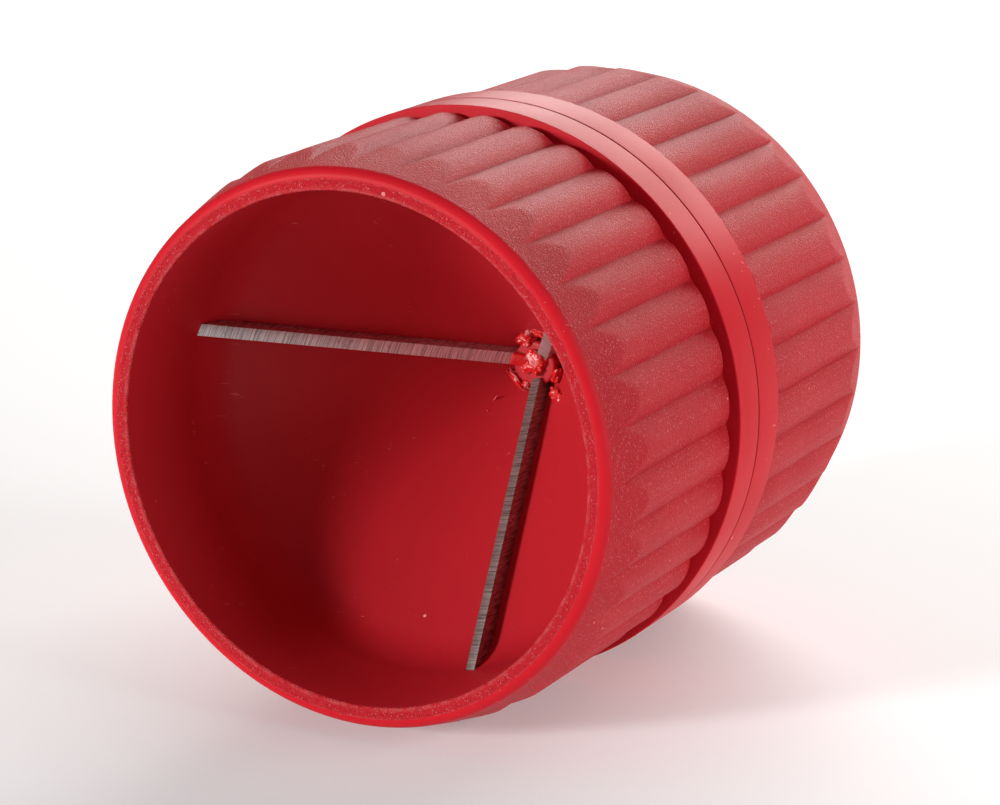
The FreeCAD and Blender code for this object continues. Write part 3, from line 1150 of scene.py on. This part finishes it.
@dataclass
class GateMarks:
    """Torn lumps between the inner ends of the blades, and the block that bridges one of them."""

    sizes: ToolSizes
    blades: BladeSet
    finish: bpy.types.Material
    lumps: tuple[TornLump, ...] = (
        TornLump(110.0, 2.7 * MM, 0.7 * MM, (1.0 * MM, 0.9 * MM, 0.9 * MM), 3.0, 0.6),
        TornLump(84.0, 3.3 * MM, 0.1 * MM, (0.9 * MM, 0.4 * MM, 0.4 * MM), 5.0, 0.9),
        TornLump(222.0, 3.0 * MM, 0.3 * MM, (1.5 * MM, 0.5 * MM, 0.45 * MM), 11.0, 0.8),
        TornLump(244.0, 2.5 * MM, 0.9 * MM, (0.6 * MM, 0.6 * MM, 0.5 * MM), 13.0, 0.7),
        TornLump(316.0, 4.2 * MM, 0.1 * MM, (0.6 * MM, 0.4 * MM, 0.8 * MM), 17.0, 0.9),
        TornLump(335.0, 2.4 * MM, 1.0 * MM, (0.9 * MM, 0.5 * MM, 0.6 * MM), 19.0, 0.8),
        TornLump(62.0, 0.7 * MM, 3.5 * MM, (1.2 * MM, 0.7 * MM, 0.9 * MM), 23.0, 0.5),
        TornLump(200.0, 0.7 * MM, 3.3 * MM, (0.8 * MM, 0.5 * MM, 0.9 * MM), 29.0, 0.5),
        TornLump(330.0, 0.8 * MM, 3.4 * MM, (0.7 * MM, 0.6 * MM, 0.5 * MM), 31.0, 0.7),
        TornLump(226.0, 5.3 * MM, 0.05 * MM, (0.10 * MM, 0.10 * MM, 0.6 * MM), 37.0, 0.4),
        TornLump(231.0, 6.2 * MM, 0.05 * MM, (0.25 * MM, 0.08 * MM, 0.08 * MM), 41.0, 0.4),
    )
    bridge_degrees: float = 165.0
    bridge_thickness: float = 1.34 * MM
    bridge_reach: tuple[float, float] = (0.35 * MM, 2.15 * MM)
    bridge_round: float = 0.16 * MM
    bridge_proud: float = 0.06 * MM
    bridge_foot: float = 0.8 * MM
    least_reach: float = 0.7
    ridge_scale: float = 0.9
    swell_scale: float = 0.8
    swell_share: float = 0.8
    sharp_angle: float = math.radians(60.0)

    def add_lump(self, work: bmesh.types.BMesh, lump: TornLump) -> None:
        """Add one ragged lump.

        Args:
            work: The mesh that grows.
            lump: The lump's place and size.
        """
        depth = self.sizes.cone_depth(self.sizes.cup_cone_apex_depth, lump.radius) - lump.rise
        centre = polar(lump.radius, lump.degrees, self.sizes.front_rim + depth)
        ball = bmesh.ops.create_icosphere(work, subdivisions=5, radius=1.0)
        turn = Euler((0.0, -math.radians(lump.degrees + 90.0), 0.0)).to_matrix()
        for vert in ball["verts"]:
            way = vert.co.normalized()
            ridge = noise.turbulence(way * self.ridge_scale + Vector((lump.seed, 0.0, 0.0)),
                                     3, True)
            swell = noise.noise(way * self.swell_scale + Vector((0.0, lump.seed, 0.0)))
            reach = self.least_reach + lump.raggedness * (ridge + self.swell_share * swell)
            vert.co = centre + turn @ Vector(a * b for a, b in zip(way * reach, lump.size))

    def add_bridge(self, work: bmesh.types.BMesh) -> None:
        """Add the block that carries on the line of one blade.

        Args:
            work: The mesh that grows.
        """
        inner, outer = self.bridge_reach
        apex = self.sizes.edge_apex_depth - self.bridge_proud
        foot = self.sizes.cone_depth(apex, inner)
        face = [(inner, foot - self.bridge_foot), (outer, self.sizes.cone_depth(apex, outer)),
                (outer, foot), (inner, foot)]
        block = self.blades.slab(self.bridge_degrees, face, face, self.bridge_thickness)
        bmesh.ops.bevel(block, geom=list(block.edges), offset=self.bridge_round, segments=3,
                        affect="EDGES", profile=0.5)
        part = bpy.data.meshes.new("bridge")
        block.to_mesh(part)
        block.free()
        work.from_mesh(part)
        bpy.data.meshes.remove(part)

    def make(self) -> None:
        """Make the lumps and the bridge as one piece on the front shell."""
        work = bmesh.new()
        for lump in self.lumps:
            self.add_lump(work, lump)
        self.add_bridge(work)
        mesh = bpy.data.meshes.new("gate_marks")
        work.to_mesh(mesh)
        work.free()
        shade(mesh, self.sharp_angle)
        mesh.materials.append(self.finish)
        piece = link_object("gate_marks", mesh)
        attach(piece, BODY)
        LOG.info("%s: %d faces", piece.name, len(mesh.polygons))


# --------------------------------------------------------------------------------- stage
@dataclass(frozen=True)
class SoftBox:
    """A rectangular light that faces the tool, as bright as its face looks."""

    name: str
    place: tuple[float, float, float]
    width: float
    height: float
    brightness: float
    colour: tuple[float, float, float] = (1.0, 1.0, 1.0)

    def make(self) -> None:
        """Add the light."""
        light = bpy.data.lights.new(self.name, "AREA")
        light.shape = "RECTANGLE"
        light.color = self.colour
        light.size = self.width
        light.size_y = self.height
        light.energy = self.brightness * math.pi * self.width * self.height
        lamp = bpy.data.objects.new(self.name, light)
        lamp.location = self.place
        lamp.rotation_euler = (-Vector(self.place)).to_track_quat("-Z", "Y").to_euler()
        bpy.context.scene.collection.objects.link(lamp)


@dataclass
class Studio:
    """Floor, soft lights and camera."""

    sizes: ToolSizes
    azimuth: float = math.radians(28.27)
    elevation: float = math.radians(15.45)
    distance: float = 341.1 * MM
    aside: float = 0.36 * MM
    above: float = -2.06 * MM
    lens: float = 121.5
    sensor: float = 36.0
    clip_start: float = 0.01
    floor_half: float = 6.0
    room_brightness: float = 0.12
    boxes: tuple[SoftBox, ...] = (
        SoftBox("back_box", (-0.05, 0.83, 0.42), 1.00, 0.36, 9.0, (1.0, 0.97, 0.93)),
        SoftBox("right_box", (0.78, 0.05, 0.20), 0.50, 0.50, 5.3),
        SoftBox("key_box", (-0.39, -0.74, 0.17), 0.12, 0.12, 150.0),
    )

    def floor(self) -> None:
        """Lay the floor under the widest part of the tool."""
        low = -self.sizes.band_radius
        half = self.floor_half
        corners = [(-half, -half, low), (half, -half, low), (half, half, low), (-half, half, low)]
        mesh = bpy.data.meshes.new("floor")
        mesh.from_pydata(corners, [], [(0, 1, 2, 3)])
        mesh.materials.append(StagePaint("floor_paint", "").material())
        link_object("floor", mesh)

    def lights(self) -> None:
        """Light the tool from soft boxes round it and from a pale room."""
        for box in self.boxes:
            box.make()
        world = bpy.data.worlds.new("pale_room")
        world.use_nodes = True
        background = world.node_tree.nodes["Background"]
        background.inputs["Color"].default_value = (1.0, 1.0, 1.0, 1.0)
        background.inputs["Strength"].default_value = self.room_brightness
        bpy.context.scene.world = world

    def camera(self) -> None:
        """Look into the cup from the front right and a little above."""
        seam = Vector((0.0, self.sizes.seam, 0.0))
        back = Vector((math.sin(self.azimuth) * math.cos(self.elevation),
                       -math.cos(self.azimuth) * math.cos(self.elevation),
                       math.sin(self.elevation)))
        right = (-back).cross(Vector((0.0, 0.0, 1.0))).normalized()
        upward = right.cross(-back)
        view = bpy.data.cameras.new("camera")
        view.lens = self.lens
        view.sensor_width = self.sensor
        view.clip_start = self.clip_start
        camera = bpy.data.objects.new("camera", view)
        camera.location = seam + back * self.distance + right * self.aside + upward * self.above
        camera.rotation_euler = (-back).to_track_quat("-Z", "Y").to_euler()
        bpy.context.scene.collection.objects.link(camera)
        bpy.context.scene.camera = camera

    def make(self) -> None:
        """Set up the whole stage."""
        self.floor()
        self.lights()
        self.camera()
        bpy.context.scene.view_settings.view_transform = "Standard"


# ---------------------------------------------------------------------------------- main
def main() -> None:
    """Build every piece in order, dress it and note its size."""
    logging.basicConfig(level=logging.INFO, format="%(name)s: %(message)s")
    sizes = ToolSizes.from_frame()
    groups = EffectGroups()
    slot = "shell_plastic"
    grip = RedPlastic("grip_plastic", slot, rubbed_and_highlit_edges=True).material(groups)
    band = RedPlastic("band_plastic", slot, seam=sizes.seam, roughness=0.38, refraction=1.17,
                      grain_depth=0.003 * MM, grain_fineness=1500.0, sparkle=0.0,
                      speck_share=0.05, scratch_amount=0.5).material(groups)
    # Its red is darker than the grip's: painted shade inside the cup.
    bore = RedPlastic("bore_plastic", slot, colour=(0.47, 0.015, 0.023, 1.0),
                      roughness=0.4, refraction=1.3,
                      grain_depth=0.002 * MM, grain_fineness=900.0, sparkle=0.0,
                      speck_share=0.02, scratch_amount=0.3).material(groups)
    steel = GroundSteel("blade_steel", "blade_steel").material(groups)
    # A darker copy of the blade steel for the lower blade: painted shade, as that blade looks
    # darker in the light.
    shaded = GroundSteel("shaded_steel", "blade_steel", colour=(0.46, 0.43, 0.40, 1.0),
                          dark_colour=(0.13, 0.11, 0.10, 1.0)).material(groups)
    torn = TornPlastic("torn_plastic", slot).material(groups)
    lathe = RibbedLathe({Zone.GRIP: grip, Zone.BAND: band, Zone.BORE: bore})
    blades = BladeSet(sizes, {"blade_upper": steel, "blade_left": steel,
                              "blade_lower": shaded})
    Shells(sizes, lathe, blades).make(bore)
    blades.make()
    GateMarks(sizes, blades, torn).make()
    Studio(sizes).make()


if __name__ == "__main__":
    main()
